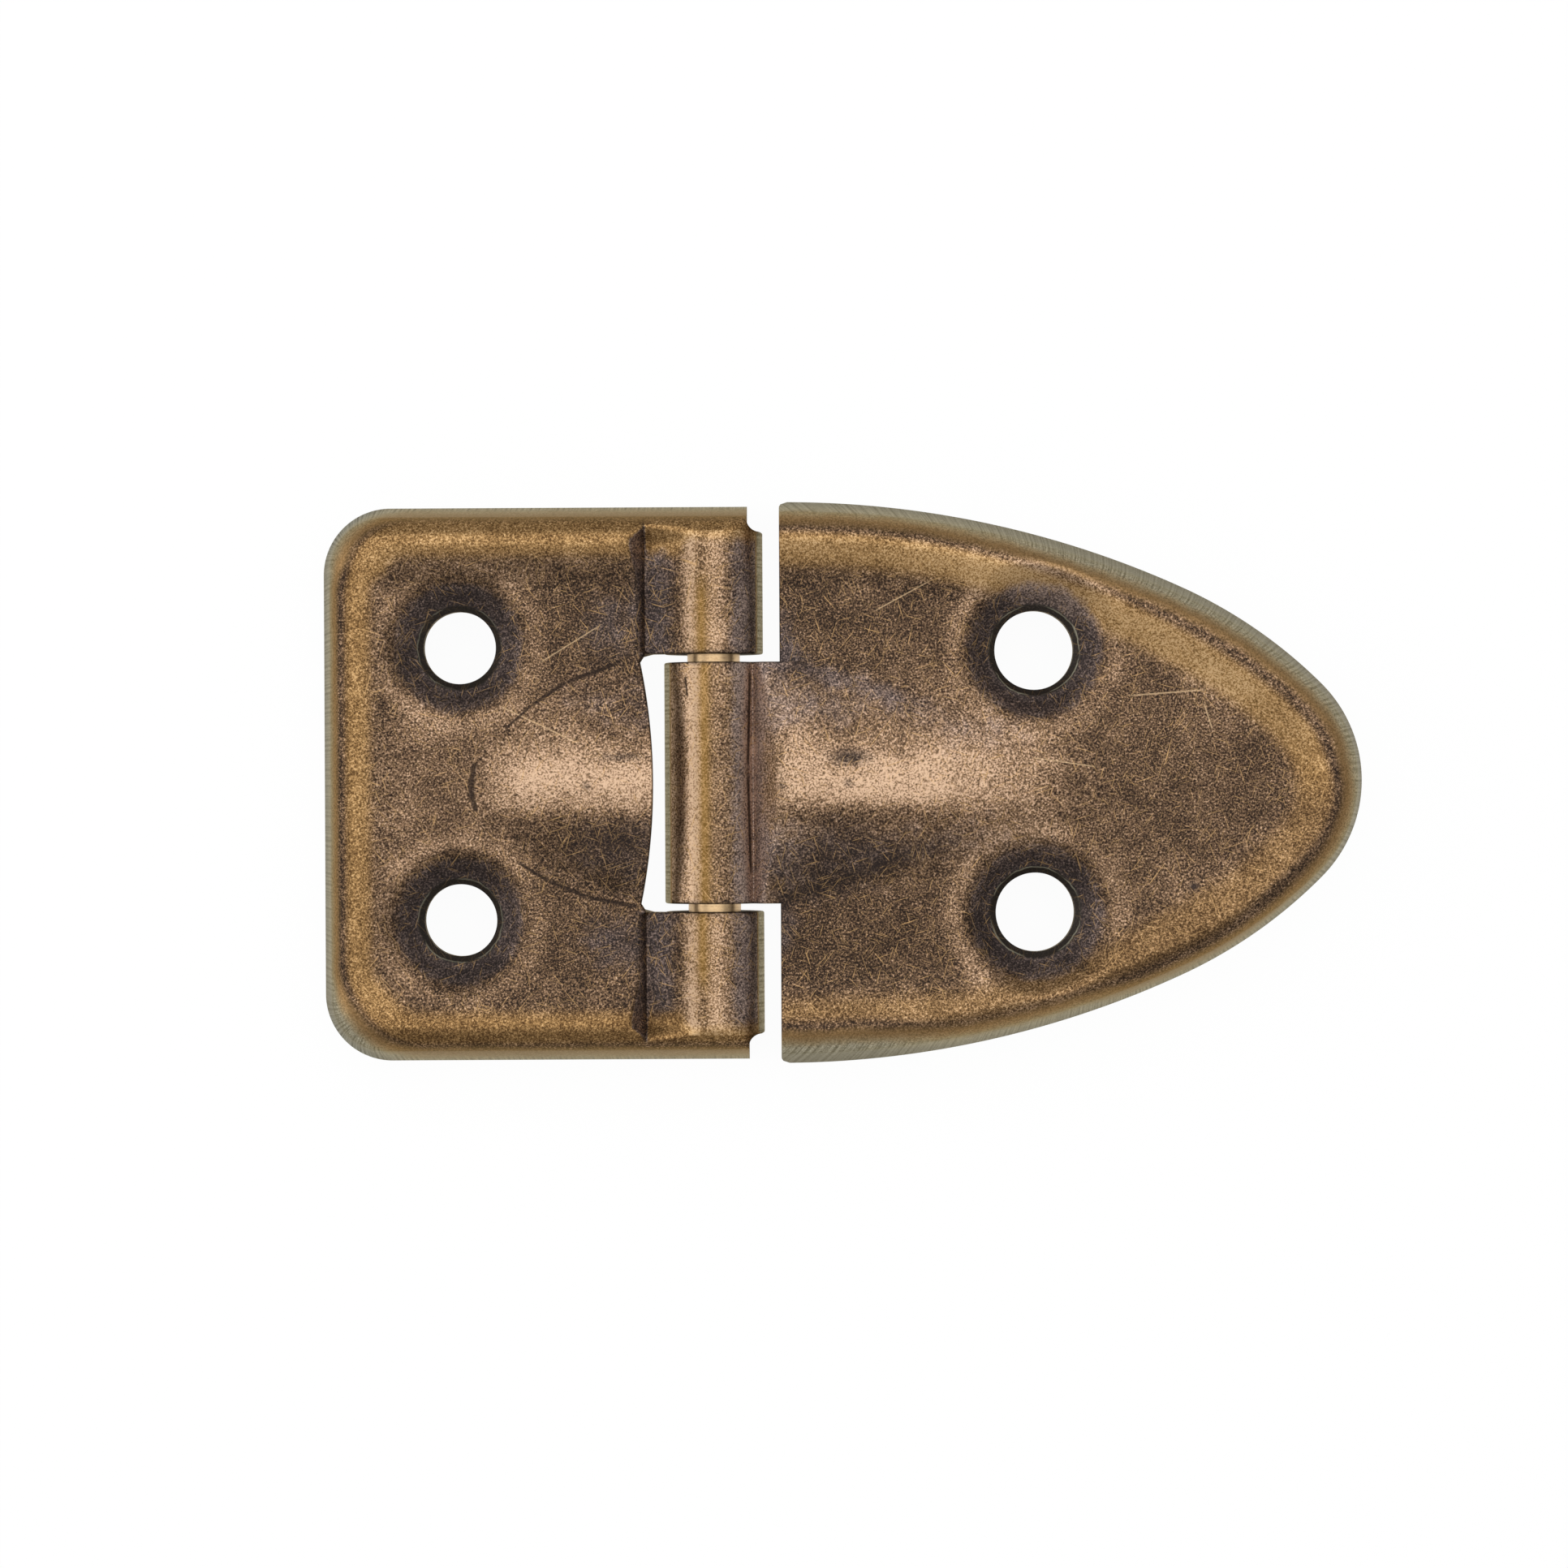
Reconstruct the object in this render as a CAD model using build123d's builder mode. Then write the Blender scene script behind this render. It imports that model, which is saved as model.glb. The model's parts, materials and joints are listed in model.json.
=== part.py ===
from build123d import *
import os
from math import acos, asin, atan, atan2, cos, degrees, hypot, radians, sin, tan

# A small lid stop hinge, lying open on its flange rims.
# Both leaves are stamped from one sheet each, and the pin is trapped between the end walls of the base leaf.
# X runs from the base leaf to the nose of the lid leaf, Y along the pin, and Z = 0 is the mounting plane.
# Lengths are millimetres and angles are degrees.

# Sheet, pin and knuckles
sheet = 1.5
pin_d = 3.5
pin_play = 0.04
pin_end_play = 0.1
pin_chamfer = 0.3
mount_gap = 0.1
centre_knuckle = 16.0
knuckle_play = 0.55

# Base leaf, measured from the pin axis
base_reach = 26.3
base_width = 37.2
end_wall = 1.95
base_corner_r = 4.5
flange_past_pin = 2.25
crease_x = 4.5
crease_drop = 0.6
crease_lap = 0.8
tongue_crest_x = 4.0
tongue_end_x = 4.85
tongue_end_inset = 0.55
base_hole_x = 16.85
base_hole_pitch = 18.1
base_hole_d = 4.8
relief_r = 0.8

# Lid leaf, measured from the pin axis
lid_reach = 43.6
lid_overhang = 0.3
lid_edge_x = 4.4
nose_r = 9.2
side_angle = 24.5
cheek_angle = 20.6
side_start_x = 4.6
valley_x = 2.6
stop_angle = 45.0
lid_hole_x = 21.3
lid_hole_pitch = 17.4
lid_hole_d = 5.25

# Pressed form of both leaves
draft_angle = 10.0
shoulder_r = 2.0
inner_bevel = 0.4
dish_rim = 3.0
dish_depth = 0.8
dish_run = 2.2
dish_corner_r = 3.6
hump_rise = 1.35
hump_r = 25.0
base_hump_start = 15.9
lid_hump_start = 25.0
dimple_depth = 1.2
dimple_land = 0.15
dimple_angle = 40.0
ring_width = 0.4
ring_depth = 0.35

# Curled ends of the knuckles
base_curl_angle = 292.0
lid_curl_angle = 315.0

# Worked out from the sizes above
bore_r = pin_d / 2 + pin_play
knuckle_r = bore_r + sheet
pin_z = knuckle_r + mount_gap
rim_top = pin_z + knuckle_r
field_z = rim_top - dish_depth
crest_z = field_z + hump_rise
pin_x = (base_reach - lid_reach) / 2
knuckle_start = centre_knuckle / 2 + knuckle_play
knuckle_end = base_width / 2 - end_wall
outer_knuckle = knuckle_end - knuckle_start
lid_width = base_width + 2 * lid_overhang
pin_length = 2 * (knuckle_end - pin_end_play)
lap = 0.3
wall_start = knuckle_end - lap
overrun = 6.0
plan = Plane((pin_x, 0, 0))
section = Plane((pin_x, 0, pin_z), x_dir=(1, 0, 0), z_dir=(0, -1, 0))


def polar(radius, angle, centre=(0, 0)):
    """Point at a distance and angle from a centre."""
    return (centre[0] + radius * cos(radians(angle)), centre[1] + radius * sin(radians(angle)))


def base_outline(inset, corner_r):
    """Rectangle with two rounded corners, open towards the pin."""
    left = inset - base_reach
    right = flange_past_pin + overrun
    half = base_width / 2 - inset
    with BuildSketch() as outline:
        with BuildLine():
            Polyline((right, half), (left, half), (left, -half), (right, -half), close=True)
        make_face()
        fillet(outline.vertices().group_by(Axis.X)[0], radius=corner_r)
    return outline.sketch


def lid_arc_radii(half, reach, nose):
    """Radii of the side and cheek arcs that join a straight root to the nose arc, all tangent."""
    first = radians(side_angle)
    second = radians(side_angle + cheek_angle)
    run = reach - side_start_x - nose * (1 - sin(second))
    drop = half - nose * cos(second)
    side_in_run = sin(first)
    cheek_in_run = sin(second) - sin(first)
    side_in_drop = 1 - cos(first)
    cheek_in_drop = cos(first) - cos(second)
    scale = side_in_run * cheek_in_drop - cheek_in_run * side_in_drop
    side_r = (run * cheek_in_drop - cheek_in_run * drop) / scale
    cheek_r = (side_in_run * drop - side_in_drop * run) / scale
    return side_r, cheek_r


def lid_outline(inset):
    """Long rounded outline: each side is a straight root and three tangent arcs."""
    half = lid_width / 2 - inset
    reach = lid_reach - inset
    nose = nose_r - inset
    side_r, cheek_r = lid_arc_radii(half, reach, nose)
    left = lid_edge_x - overrun
    with BuildSketch() as outline:
        with BuildLine() as edge:
            root = Line((left, -half), (side_start_x, -half))
            side = JernArc(root @ 1, (1, 0), side_r, side_angle)
            cheek = JernArc(side @ 1, side % 1, cheek_r, cheek_angle)
            JernArc(cheek @ 1, cheek % 1, nose, 90 - side_angle - cheek_angle)
            mirror(edge.edges(), about=Plane.XZ)
            Line((left, half), (left, -half))
        make_face()
    return outline.sketch


def hump_form(start_x, end_x, inset):
    """Round ridge that climbs from the field to the crest, as a slanting cylinder above the field."""
    climb = degrees(atan2(hump_rise, abs(end_x - start_x)))
    towards_pin = 1 if end_x > start_x else -1
    along = (towards_pin * cos(radians(climb)), 0, sin(radians(climb)))
    below = (towards_pin * sin(radians(climb)), 0, -cos(radians(climb)))
    axis_point = (pin_x + start_x + hump_r * below[0], 0, field_z + hump_r * below[2])
    length = 2 * abs(end_x - start_x)
    floor_z = field_z - inset - sheet / 2
    with BuildPart() as hump:
        with BuildSketch(Plane(axis_point, x_dir=(0, 1, 0), z_dir=along)):
            Circle(hump_r - inset)
        extrude(amount=length, both=True)
        with BuildSketch(Plane((pin_x, 0, floor_z))):
            with Locations(((start_x + end_x) / 2, 0)):
                Rectangle(abs(end_x - start_x) + overrun, 2 * knuckle_start)
        extrude(amount=hump_r, mode=Mode.INTERSECT)
    return hump.part


def leaf_form(outline, dish, hump, holes, hole_d, inset):
    """Pressed leaf as a full block, smaller by inset on every side, with dish, hump and dimples.

    The outer form has a round shoulder; the inner one, with an inset, is bevelled there to keep the gauge even.
    """
    top = rim_top - inset
    dimple_z = field_z - dimple_depth - inset
    dimple_height = top - dimple_z
    dimple_floor_r = hole_d / 2 + ring_width + dimple_land
    dimple_top_r = dimple_floor_r + dimple_height / tan(radians(dimple_angle))
    with BuildPart() as form:
        with BuildSketch(plan):
            add(outline)
        extrude(amount=top, taper=draft_angle)
        shoulder = form.faces().sort_by(Axis.Z)[-1].edges()
        if inset:
            chamfer(shoulder, length=inner_bevel)
        else:
            fillet(shoulder, radius=shoulder_r)
        with BuildSketch(plan.offset(top)):
            add(dish)
        extrude(amount=-dish_depth, taper=degrees(atan(dish_run / dish_depth)), mode=Mode.SUBTRACT)
        add(hump)
        with Locations(*[(pin_x + x, y, dimple_z) for x, y in holes]):
            Cone(
                dimple_floor_r,
                dimple_top_r,
                dimple_height,
                align=(Align.CENTER, Align.CENTER, Align.MIN),
                mode=Mode.SUBTRACT,
            )
    return form.part


def ring_sector(start, size):
    """Curled sheet around the pin, between two angles, drawn in the section plane."""
    with BuildSketch() as sector:
        with BuildLine():
            outer = CenterArc((0, 0), knuckle_r, start, size)
            inner = CenterArc((0, 0), bore_r, start, size)
            Line(outer @ 0, inner @ 0)
            Line(outer @ 1, inner @ 1)
        make_face()
    return sector.sketch


def screw_holes(holes, diameter):
    """Round holes through the dimple floors, each with a small coined ring at its mouth."""
    floor_z = field_z - dimple_depth
    with BuildPart() as tools:
        with Locations(*[(pin_x + x, y, floor_z) for x, y in holes]):
            Cylinder(diameter / 2, 4 * sheet)
            Cone(
                diameter / 2,
                diameter / 2 + ring_width,
                ring_depth,
                align=(Align.CENTER, Align.CENTER, Align.MAX),
            )
    return tools.part


# Base leaf: dished plate with a wall on three sides, a humped stop tongue and two curled knuckles
wall_inset = sheet / cos(radians(draft_angle))
base_holes = [(-base_hole_x, y) for y in (-base_hole_pitch / 2, base_hole_pitch / 2)]
base_dish = base_outline(dish_rim, dish_corner_r)
base_block = leaf_form(
    base_outline(0, base_corner_r),
    base_dish,
    hump_form(-base_hump_start, -tongue_crest_x, 0),
    base_holes,
    base_hole_d,
    0,
)
base_core = leaf_form(
    base_outline(wall_inset, base_corner_r - sheet),
    base_dish,
    hump_form(-base_hump_start, -tongue_crest_x, sheet),
    base_holes,
    base_hole_d,
    sheet,
)
base_drills = screw_holes(base_holes, base_hole_d)

# The sheet leaves the crease on a slope that touches the knuckle circle
crease_z = field_z - crease_drop - pin_z
crease_distance = hypot(crease_x, crease_z)
curl_slope = degrees(asin(knuckle_r / crease_distance)) - degrees(atan2(crease_z, crease_x))
curl_touch = 90 + curl_slope
slope_start = (
    -crease_x - crease_lap * cos(radians(curl_slope)),
    crease_z - crease_lap * sin(radians(curl_slope)),
)
tongue_half = knuckle_start - tongue_end_inset

with BuildPart() as base_leaf:
    add(base_block)
    # Plan of what the press leaves: plate up to the crease, tongue, and end walls past the pin
    with BuildSketch(plan):
        with BuildLine():
            tongue_edge = ThreePointArc(
                (-tongue_end_x, -tongue_half),
                (-tongue_crest_x, 0),
                (-tongue_end_x, tongue_half),
            )
            knuckle_side = Polyline(
                tongue_edge @ 1,
                (-crease_x, knuckle_start),
                (-crease_x, wall_start),
                (flange_past_pin + relief_r, wall_start),
                (flange_past_pin + relief_r, knuckle_end),
            )
            relief = RadiusArc(knuckle_side @ 1, (flange_past_pin, knuckle_end + relief_r), relief_r)
            far_side = Line(relief @ 1, (flange_past_pin, base_width))
            mirror((knuckle_side, relief, far_side), about=Plane.XZ)
            Polyline(
                (flange_past_pin, base_width),
                (-2 * base_reach, base_width),
                (-2 * base_reach, -base_width),
                (flange_past_pin, -base_width),
            )
        make_face()
    extrude(amount=crest_z + overrun, mode=Mode.INTERSECT)
    add(base_core, mode=Mode.SUBTRACT)
    # Past the pin axis the rim follows the curl down
    with BuildSketch(section):
        with BuildLine():
            crown = CenterArc((0, 0), knuckle_r, 0, 90)
            Polyline(crown @ 1, (0, 2 * knuckle_r), (2 * knuckle_r, 2 * knuckle_r), (2 * knuckle_r, 0), crown @ 0)
        make_face()
    extrude(amount=base_width, both=True, mode=Mode.SUBTRACT)
    # Knuckles
    for side in (-1, 1):
        with BuildSketch(section.offset(side * (knuckle_start + knuckle_end) / 2)):
            with BuildLine():
                Polyline(
                    slope_start,
                    polar(knuckle_r, curl_touch),
                    polar(bore_r, curl_touch),
                    polar(sheet, curl_slope - 90, slope_start),
                    close=True,
                )
            make_face()
            add(ring_sector(curl_touch - base_curl_angle, base_curl_angle))
        extrude(amount=outer_knuckle / 2, both=True)
    # Bore, closed at both ends by the walls
    with BuildSketch(section):
        Circle(bore_r)
    extrude(amount=knuckle_end, both=True, mode=Mode.SUBTRACT)
    add(base_drills, mode=Mode.SUBTRACT)

# Lid leaf: dished plate with a wall around the nose, a hump whose steep face is the stop, one knuckle
lid_holes = [(lid_hole_x, y) for y in (-lid_hole_pitch / 2, lid_hole_pitch / 2)]
lid_dish = lid_outline(dish_rim)
lid_block = leaf_form(
    lid_outline(0),
    lid_dish,
    hump_form(lid_hump_start, lid_edge_x, 0),
    lid_holes,
    lid_hole_d,
    0,
)
lid_core = leaf_form(
    lid_outline(wall_inset),
    lid_dish,
    hump_form(lid_hump_start, lid_edge_x, sheet),
    lid_holes,
    lid_hole_d,
    sheet,
)
lid_drills = screw_holes(lid_holes, lid_hole_d)
valley_angle = degrees(acos(valley_x / knuckle_r))
valley = polar(knuckle_r, valley_angle)
face_below = stop_angle - 90


def stop_face_cut(inset):
    """Everything above the steep face that climbs from the valley to the hump."""
    foot = polar(inset, face_below, valley)
    low = polar(-overrun, stop_angle, foot)
    high = polar(2 * overrun, stop_angle, foot)
    with BuildPart() as cut:
        with BuildSketch(section):
            with BuildLine():
                Polyline(
                    low,
                    high,
                    polar(-3 * overrun, face_below, high),
                    polar(-3 * overrun, face_below, low),
                    close=True,
                )
            make_face()
        extrude(amount=knuckle_start, both=True)
    return cut.part


block_cut = stop_face_cut(0)
core_cut = stop_face_cut(sheet)

with BuildPart() as lid_hollow:
    add(lid_core)
    add(core_cut, mode=Mode.SUBTRACT)

with BuildPart() as lid_leaf:
    add(lid_block)
    add(block_cut, mode=Mode.SUBTRACT)
    # Plan of what the press leaves: plate from its cut edge on, and the tab of the knuckle
    with BuildSketch(plan):
        with Locations((lid_edge_x, 0)):
            Rectangle(2 * lid_reach, 2 * lid_width, align=(Align.MIN, Align.CENTER))
            Rectangle(lid_edge_x, centre_knuckle, align=(Align.MAX, Align.CENTER))
    extrude(amount=crest_z + overrun, mode=Mode.INTERSECT)
    add(lid_hollow.part, mode=Mode.SUBTRACT)
    # The steep face ends square at the valley, where the curl begins
    with BuildSketch(section):
        with BuildLine():
            Polyline(
                polar(overrun, stop_angle + 90, valley),
                polar(overrun, face_below, valley),
                polar(-overrun, stop_angle, polar(overrun, face_below, valley)),
                polar(-overrun, stop_angle, polar(overrun, stop_angle + 90, valley)),
                close=True,
            )
        make_face()
    extrude(amount=centre_knuckle / 2, both=True, mode=Mode.SUBTRACT)
    with BuildSketch(section):
        with BuildLine():
            fold = CenterArc(valley, sheet, valley_angle + 180, face_below + 180 - valley_angle)
            Line(fold @ 1, valley)
            Line(valley, fold @ 0)
        make_face()
        add(ring_sector(valley_angle, lid_curl_angle))
    extrude(amount=centre_knuckle / 2, both=True)
    with BuildSketch(section):
        Circle(bore_r)
    extrude(amount=centre_knuckle, both=True, mode=Mode.SUBTRACT)
    add(lid_drills, mode=Mode.SUBTRACT)

# Pin: plain drawn rod with broken edges
with BuildPart() as hinge_pin:
    with BuildSketch(section):
        Circle(pin_d / 2)
    extrude(amount=pin_length / 2, both=True)
    chamfer(hinge_pin.edges().filter_by(GeomType.CIRCLE), length=pin_chamfer)

base_leaf.part.label = "base_leaf"
lid_leaf.part.label = "lid_leaf"
hinge_pin.part.label = "hinge_pin"
export_step(base_leaf.part, "parts/base_leaf.step")
export_step(lid_leaf.part, "parts/lid_leaf.step")
export_step(hinge_pin.part, "parts/hinge_pin.step")
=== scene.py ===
import json
from math import acos, atan2, cos, degrees, hypot, pi, radians, sin, sqrt, tan

import bpy
import numpy as np
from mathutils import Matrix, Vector
from mathutils.geometry import delaunay_2d_cdt


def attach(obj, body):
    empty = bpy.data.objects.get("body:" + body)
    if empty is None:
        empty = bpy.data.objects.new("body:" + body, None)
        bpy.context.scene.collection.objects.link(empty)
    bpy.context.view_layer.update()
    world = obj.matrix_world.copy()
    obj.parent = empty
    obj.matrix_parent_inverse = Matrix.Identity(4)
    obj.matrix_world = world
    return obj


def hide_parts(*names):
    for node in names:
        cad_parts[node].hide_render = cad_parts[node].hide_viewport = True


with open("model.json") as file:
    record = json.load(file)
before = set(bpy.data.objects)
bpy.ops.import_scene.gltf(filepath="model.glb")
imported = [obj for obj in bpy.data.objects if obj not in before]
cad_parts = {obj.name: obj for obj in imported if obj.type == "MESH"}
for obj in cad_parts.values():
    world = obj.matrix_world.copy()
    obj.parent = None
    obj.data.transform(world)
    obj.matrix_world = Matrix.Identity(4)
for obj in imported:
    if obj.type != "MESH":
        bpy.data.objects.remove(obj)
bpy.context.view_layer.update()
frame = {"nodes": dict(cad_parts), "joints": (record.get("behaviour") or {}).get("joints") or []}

scene = bpy.context.scene

# Lengths are millimetres, measured from the pin axis in X, the middle in Y and the mounting plane in Z.
# They are turned into metres where a mesh is made. A screw hole is given by its X, Y and radius.
mm = 0.001
pin_x = frame["joints"][0]["pos_m"][0] / mm
pin_z = frame["joints"][0]["pos_m"][2] / mm

# Sheet and knuckles
sheet = 1.5
bore_r = 1.79
knuckle_r = bore_r + sheet
bore_scale = bore_r / knuckle_r
rim_top = pin_z + knuckle_r
cut_edge_r = 0.13
centre_half = 8.0
tab_half = centre_half + 0.01
knuckle_in = 8.55
knuckle_out = 16.65
curl_step = 4

# Pressed form
draft_turn = radians(10)
draft = tan(draft_turn)
shoulder_r = 2.0
shoulder_d = 0.886
crest_d = 2.856
shoulder_z = rim_top - shoulder_r
dish_depth = 0.8
dish_from = 2.0
dish_to = 6.2
field_z = rim_top - dish_depth
hump_r = 25.0
crest_z = 7.23
hump_tail = 0.8
hump_tail_bend = 0.3
hump_flat_half = 9.5
hump_side_bend = 0.5
hump_side_end = 20
dimple_z = field_z - 1.2
dimple_land = 0.15
dimple_slope = tan(radians(40))
dimple_sink = 0.02
dimple_lip = 0.45
dimple_foot = 0.5
ring_width = 0.4
ring_depth = 0.35
ring_soft = 0.06
dimple_flat = ring_width + dimple_land

# Base leaf
base_reach = 26.3
base_half = 18.6
base_corner_r = 4.5
base_dish_r = 6.6
base_hole = (-16.85, 9.05, 2.4)
base_hump_start = -15.9
base_crest_x = -4.0
base_hump_soft = 0.12
crease_x = -4.5
crease_z = 5.28
crease_slope = 1.2
crease_soft = 0.2
crease_bend = 6
crease_span = (8.9, 17.35)
curl_slope = radians(19.6)
touch_x = -knuckle_r * sin(curl_slope)
flange_end = 2.25
relief_r = 0.8
last_x = flange_end + relief_r
end_rim_y = 17.4
end_rim_from = 15.8
end_rim_width = 1.6
end_rim_soft = 0.25
base_curl_end = -182.4
tongue_half = 8.0
tongue_end_x = -4.85

# Lid leaf
lid_reach = 43.6
lid_half = 18.9
lid_edge_x = 4.4
lid_hole = (21.3, 8.7, 2.625)
lid_hump_start = 25.0
lid_hump_soft = 0.16
valley_x = 2.6
valley_z = pin_z + sqrt(knuckle_r**2 - valley_x**2)
valley_soft = 0.07
stop_soft = 0.3
lid_curl_end = 352.8
side_start_x = 4.6
side_turn = 24.5
cheek_turn = 20.6
nose_r = 9.2
lid_corner_r = 0.55

# Mesh
grid = 0.25
fine_grid = 0.1
row_step = 0.25
corner_step = 0.16
cut_step = 0.1
fine_gap = 0.06
coarse_gap = 0.14
line_gap = 0.07
rim_gap = 0.1
hole_gap = 0.12
hole_steps = (0, 0.03, 0.08, 0.16, 0.24, 0.32, 0.37, 0.4, 0.43, 0.48, 0.58, 0.75, 0.95)
hole_points = 96
slope_step = 0.01
sharp_angle = radians(50)
flip = np.array([1, -1])


def smooth(t):
    """Soft step from 0 to 1."""
    t = np.clip(t, 0, 1)
    return t * t * (3 - 2 * t)


def rise(value, start, width):
    """Soft step from 0 at start to 1 a width further."""
    return smooth((value - start) / width)


def fade(value, start, width):
    """Soft step from 1 at start to 0 a width further."""
    return 1 - rise(value, start, width)


def soft_max(a, b, k):
    """The larger of two heights, rounded over k."""
    h = np.clip(0.5 + 0.5 * (a - b) / k, 0, 1)
    return b + (a - b) * h + k * h * (1 - h)


def soft_min(a, b, k):
    """The smaller of two heights, rounded over k."""
    return -soft_max(-a, -b, k)


def blend(a, b, share):
    """The value a share of the way from a to b."""
    return a + (b - a) * share


def bell(value, centre, width):
    """Smooth bump of height 1."""
    return np.exp(-(((value - centre) / width) ** 2))


def shell_height(d):
    """Height of the drafted wall and the round shoulder, at a distance in from the outline."""
    wall = np.maximum(d, 0) / draft
    arc = shoulder_z + np.sqrt(np.clip(shoulder_r**2 - (crest_d - d) ** 2, 0, None))
    return np.where(d < shoulder_d, wall, np.where(d < crest_d, arc, rim_top))


def hole_distance(x, y, hole):
    """Distance out from the edge of the nearer screw hole."""
    return np.hypot(x - hole[0], np.abs(y) - hole[1]) - hole[2]


def dimple_form(z, x, y, hole):
    """Cuts the conical dimple and the coined ring round a screw hole into a height."""
    r = hole_distance(x, y, hole)
    cone = dimple_z + dimple_slope * (soft_max(r - dimple_flat, 0 * r, dimple_foot) - dimple_sink)
    return soft_min(z, cone, dimple_lip) - ring_depth * soft_max(ring_width - r, 0 * r, ring_soft) / ring_width


# Distance in from each outline
second_turn = radians(side_turn + cheek_turn)
first_turn = radians(side_turn)
run = lid_reach - side_start_x - nose_r * (1 - sin(second_turn))
drop = lid_half - nose_r * cos(second_turn)
side_run = sin(first_turn)
cheek_run = sin(second_turn) - sin(first_turn)
side_drop = 1 - cos(first_turn)
cheek_drop = cos(first_turn) - cos(second_turn)
whole = side_run * cheek_drop - cheek_run * side_drop
side_r = (run * cheek_drop - cheek_run * drop) / whole
cheek_r = (side_run * drop - side_drop * run) / whole
side_centre = (side_start_x, lid_half - side_r)
cheek_centre = (
    side_centre[0] + (side_r - cheek_r) * sin(first_turn),
    side_centre[1] + (side_r - cheek_r) * cos(first_turn),
)
nose_centre = (lid_reach - nose_r, 0.0)


def from_arc(x, y, centre, radius):
    """Angle from +Y and distance in from an arc."""
    return np.arctan2(x - centre[0], y - centre[1]), radius - np.hypot(x - centre[0], y - centre[1])


def lid_distance(x, y):
    """Distance in from the lid outline."""
    y = np.abs(y)
    side_angle, side = from_arc(x, y, side_centre, side_r)
    cheek_angle, cheek = from_arc(x, y, cheek_centre, cheek_r)
    _, nose = from_arc(x, y, nose_centre, nose_r)
    bent = np.where(side_angle <= first_turn, side, np.where(cheek_angle <= second_turn, cheek, nose))
    return np.where(x < side_start_x, lid_half - y, bent)


def base_distance(x, y, corner):
    """Distance in from the base outline, with rounded corners."""
    out_x = -base_reach + corner - x
    out_y = np.abs(y) - (base_half - corner)
    rounded = np.hypot(out_x, out_y)
    return corner - np.where((out_x > 0) & (out_y > 0), rounded, np.maximum(out_x, out_y))


def base_edge(x, y):
    """Distance in from the base outline."""
    return base_distance(x, y, base_corner_r)


def stack(*parts):
    """Points from their coordinates, each a row of values or one value for all."""
    return np.stack(np.broadcast_arrays(*parts), axis=1)


def join(*parts):
    """One row of points or values from several."""
    return np.concatenate(parts)


def hump_height(x, y, start, end):
    """Round ridge that climbs from the field to the crest."""
    line = field_z + (crest_z - field_z) * (x - start) / (end - start)
    behind = np.clip((x - start) * np.sign(start - end) - hump_tail, 0, None)
    beside = np.clip(np.abs(y) - hump_flat_half, 0, None)
    line = line - hump_tail_bend * behind**2 - hump_side_bend * beside**2
    return line - (hump_r - np.sqrt(hump_r**2 - np.minimum(np.abs(y), hump_side_end) ** 2))


def barrel_height(x):
    """Top of the knuckle above the pin."""
    return pin_z + np.sqrt(np.clip(knuckle_r**2 - x**2, 0.01, None))


def bore_height(x):
    """Top of the bore, on the line from the pin axis to the top of the knuckle at x."""
    return blend(pin_z, barrel_height(x), bore_scale)


def lid_plate(x, y):
    """Top of the lid leaf without its stop face."""
    d = lid_distance(x, y)
    z = shell_height(d) - dish_depth * rise(d, dish_from, dish_to - dish_from)
    z = soft_max(z, hump_height(x, y, lid_hump_start, lid_edge_x), lid_hump_soft)
    return dimple_form(z, x, y, lid_hole)


def lid_height(x, y):
    """Top of the lid leaf."""
    z = lid_plate(x, y)
    stop = soft_max(barrel_height(x), valley_z + (x - valley_x), valley_soft)
    tab_z = np.where(x < valley_x, stop, soft_min(z, stop, stop_soft))
    return np.where(np.abs(y) < tab_half, tab_z, z)


def knuckle_height(x, y):
    """Top of the base knuckles: a slope, the barrel, and the rim that runs over their outer ends."""
    d = base_half - np.abs(y)
    slope = crease_z + (x - crease_x) * tan(curl_slope)
    top = np.where(x < touch_x, slope, barrel_height(x))
    rim = soft_min(shell_height(d), barrel_height(np.maximum(x, 0)), end_rim_soft)
    rim = np.where(x > 0, rim, np.minimum(shell_height(d), rim_top))
    share = rise(np.abs(y), end_rim_from, end_rim_width)
    return np.where(np.abs(y) > end_rim_y, rim, blend(top, rim, share))


def base_height(x, y):
    """Top of the base leaf."""
    ay = np.abs(y)
    dish = base_distance(x, y, base_dish_r)
    z = shell_height(base_edge(x, y)) - dish_depth * rise(dish, dish_from, dish_to - dish_from)
    z = soft_max(z, hump_height(x, y, base_hump_start, base_crest_x), base_hump_soft)
    z = dimple_form(z, x, y, base_hole)
    foot = knuckle_height(np.full_like(x, crease_x), y)
    beyond = np.clip(crease_span[0] - ay, 0, None) ** 2 + np.clip(ay - crease_span[1], 0, None) ** 2
    wall = foot + (crease_x - x) * crease_slope + crease_bend * beyond
    left = soft_min(z, wall, crease_soft)
    return np.where((x > crease_x) & (ay > tongue_half + 0.2), knuckle_height(x, y), left)


# Points along each outline, with the direction in
def arc_row(centre, radius, start, end, step):
    """Points and inward directions along an arc, angles in degrees from +X, the last one left out."""
    count = max(2, int(abs(radians(end - start)) * radius / step))
    angles = np.radians(np.linspace(start, end, count, endpoint=False))
    out = stack(np.cos(angles), np.sin(angles))
    return np.hstack((centre + radius * out, -out))


def line_row(a, b, inward, step):
    """Points and inward directions along a line, the last one left out."""
    count = max(1, int(hypot(b[0] - a[0], b[1] - a[1]) / step))
    t = np.linspace(0, 1, count, endpoint=False)[:, None]
    return np.hstack((blend(np.array(a), np.array(b), t), np.tile(inward, (count, 1))))


def whole_row(middle, *upper):
    """The upper stretches of an outline, its middle point, and the stretches mirrored and run backwards."""
    upper = join(*upper)
    return join(upper, [middle], upper[::-1] * (1, -1, 1, -1))


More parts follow.
